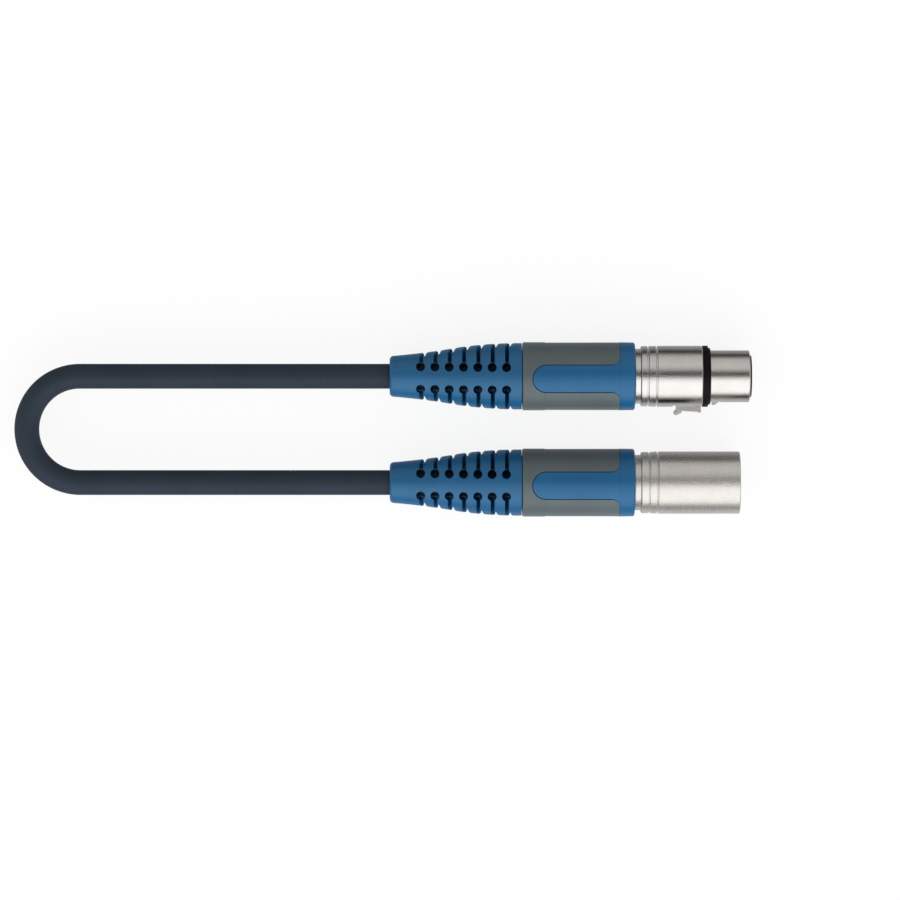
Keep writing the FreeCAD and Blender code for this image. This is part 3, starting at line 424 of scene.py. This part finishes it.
def coil(name):
    """Coil spring under the latch lever, standing in the insert's pocket and pointing towards -Y."""
    steps, around = 40, 12
    total = int(SPRING_HEIGHT / SPRING_PITCH * steps)
    along = Vector((0, 1, 0))
    foot = Vector((SPRING_X, SIDE_Y - SPRING_FOOT - SPRING_WIRE, AXIS_Z))
    verts, faces = [], []
    for i in range(total + 1):
        a = 2 * math.pi * i / steps
        outward = Vector((math.cos(a), 0, math.sin(a)))
        middle = foot - along * (SPRING_HEIGHT * i / total) + outward * SPRING_RADIUS
        for k in range(around):
            b = 2 * math.pi * k / around
            verts.append(middle + (outward * math.cos(b) + along * math.sin(b)) * SPRING_WIRE)
    for i in range(total):
        for k in range(around):
            a, b = i * around + k, i * around + (k + 1) % around
            faces.append((a, b, b + around, a + around))
    faces.append(tuple(range(around)))
    faces.append(tuple(total * around + k for k in reversed(range(around))))
    return mesh_piece(name, verts, faces, MATS["spring"])


spring = coil("latch_coil_spring")
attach(spring, "female_plug")
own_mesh(spring)
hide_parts("female_latch_spring")


# ------------------------------------------------------------------ stage
lo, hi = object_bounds()
centre = (lo + hi) / 2
FLOOR_SIZE = 4.0
FLOOR_GAP = 0.2 * MM


def floor_material():
    """Pale floor with a faint glow of its own, so that it stays bright under the object."""
    m = Mat("studio_floor").set(Roughness=0.9)
    m.bsdf.inputs["Specular IOR Level"].default_value = 0.0
    m.vary_colour(m.noise(4.0, 2.0, 0.5), (0.15, 0.15, 0.15, 1), (0.165, 0.165, 0.165, 1))
    m.set(Emission_Color=(1, 1, 1, 1), Emission_Strength=0.85)
    return m.done()


bpy.ops.mesh.primitive_grid_add(x_subdivisions=8, y_subdivisions=8, size=FLOOR_SIZE,
                                location=(0, 0, -FLOOR_GAP))
floor = bpy.context.object
floor.name = "floor"
floor.data.materials.append(floor_material())
floor.visible_glossy = False

# Light as reflections see it, by the angle in degrees from overhead towards -Y: (angle, grey, warmth).
# It is grey from the +Y side, dark in a gap about overhead, then one wide softbox down to the -Y side.
REFLECTED = (
    (-180, 0.50, 0.0), (-150, 0.34, 0.0), (-127, 0.22, 0.0), (-119, 0.05, 0.0), (-106, 0.03, 0.0),
    (-98, 0.24, 0.02), (-87, 0.54, 0.02), (-50, 0.66, 0.03), (-37, 0.62, 0.03), (-26, 0.34, 0.03),
    (-19, 0.06, 0.0), (-8, 0.07, 0.0), (-1, 0.45, 0.0), (8, 1.08, 0.01), (18, 1.34, 0.01),
    (68, 1.34, 0.01), (79, 1.00, 0.0), (88, 0.06, 0.0), (104, 0.06, 0.0), (112, 0.22, 0.0),
    (122, 0.50, 0.0), (145, 0.58, 0.0), (180, 0.50, 0.0),
)
REFLECTED_ENDS = (0.55, 0.55, 0.54, 1)
ROOM_LEVEL, ROOM_LEAN = 0.93, -0.68
BACKDROP = (0.98, 0.98, 0.98, 1)


def studio_world():
    """Even white room, brighter on the -Y side; reflections see softboxes with dark gaps."""
    world = bpy.data.worlds.new("studio")
    bpy.context.scene.world = world
    world.use_nodes = True
    tree = world.node_tree
    back = tree.nodes["Background"]

    def add(kind, **values):
        node = tree.nodes.new(kind)
        for key, value in values.items():
            setattr(node, key, value)
        return node

    def maths(operation, *terms):
        node = add("ShaderNodeMath", operation=operation)
        for index, term in enumerate(terms):
            if isinstance(term, (int, float)):
                node.inputs[index].default_value = term
            else:
                tree.links.new(term, node.inputs[index])
        return node.outputs[0]

    def mix(factor, a, b):
        node = add("ShaderNodeMix", data_type="RGBA")
        for value, target in ((factor, "Factor"), (a, "A"), (b, "B")):
            socket = [item for item in node.inputs if item.name == target and item.enabled][0]
            if isinstance(value, (int, float, tuple)):
                socket.default_value = value
            else:
                tree.links.new(value, socket)
        return [item for item in node.outputs if item.enabled][0]

    where = add("ShaderNodeTexCoord")
    axes = add("ShaderNodeSeparateXYZ")
    tree.links.new(where.outputs["Generated"], axes.inputs[0])
    x, y, z = axes.outputs
    angle = maths("ARCTAN2", maths("MULTIPLY", y, -1.0), z)
    turn = maths("MULTIPLY_ADD", angle, 1 / (2 * math.pi), 0.5)
    ramp = add("ShaderNodeValToRGB")
    tree.links.new(turn, ramp.inputs["Fac"])
    stops = ramp.color_ramp.elements
    while len(stops) < len(REFLECTED):
        stops.new(0.5)
    for stop, (degrees, grey, warmth) in zip(stops, REFLECTED):
        stop.position = (degrees + 180) / 360
        stop.color = (grey, grey * (1 - warmth), grey * (1 - 2 * warmth), 1)
    ends = maths("POWER", maths("ABSOLUTE", x), 4.0)
    seen = mix(ends, ramp.outputs["Color"], REFLECTED_ENDS)
    level = maths("MULTIPLY_ADD", y, ROOM_LEAN, ROOM_LEVEL)
    even = add("ShaderNodeCombineXYZ")
    for socket in even.inputs:
        tree.links.new(level, socket)
    path = add("ShaderNodeLightPath")
    lit = mix(path.outputs["Is Glossy Ray"], even.outputs[0], seen)
    tree.links.new(mix(path.outputs["Is Camera Ray"], lit, BACKDROP), back.inputs["Color"])
    back.inputs["Strength"].default_value = 1.0


studio_world()


def softbox(name, location, target, size, watts):
    """Area light that lights the surfaces without showing in their reflections."""
    data = bpy.data.lights.new(name, "AREA")
    data.shape = "RECTANGLE"
    data.size, data.size_y = size
    data.energy = watts
    obj = bpy.data.objects.new(name, data)
    obj.location = location
    obj.rotation_mode = "QUATERNION"
    obj.rotation_quaternion = (Vector(target) - Vector(location)).to_track_quat("-Z", "Y")
    obj.visible_glossy = False
    bpy.context.scene.collection.objects.link(obj)
    return obj


softbox("key_low", location=(0.05, -0.75, 0.62), target=centre, size=(1.3, 0.5), watts=2.0)

# ------------------------------------------------------------------ camera
TILT = math.radians(5.5)
LENS, SENSOR = 200, 36
FRAME_WIDTH = 0.275
AIM_X, AIM_Y = 0.0206, -0.0063

cam_data = bpy.data.cameras.new("camera")
cam_data.lens = LENS
cam_data.sensor_width = SENSOR
cam_data.clip_start, cam_data.clip_end = 0.05, 20.0
cam = bpy.data.objects.new("camera", cam_data)
bpy.context.scene.collection.objects.link(cam)
aim = Vector((centre.x + AIM_X, centre.y + AIM_Y, AXIS_Z))
back = Vector((0, math.sin(TILT), math.cos(TILT)))
up = Vector((0, math.cos(TILT), -math.sin(TILT)))
right = up.cross(back)
cam.location = aim + back * (FRAME_WIDTH * LENS / SENSOR)
cam.rotation_mode = "QUATERNION"
cam.rotation_quaternion = Matrix((right, up, back)).transposed().to_quaternion()
bpy.context.scene.camera = cam
bpy.context.scene.view_settings.view_transform = "Standard"
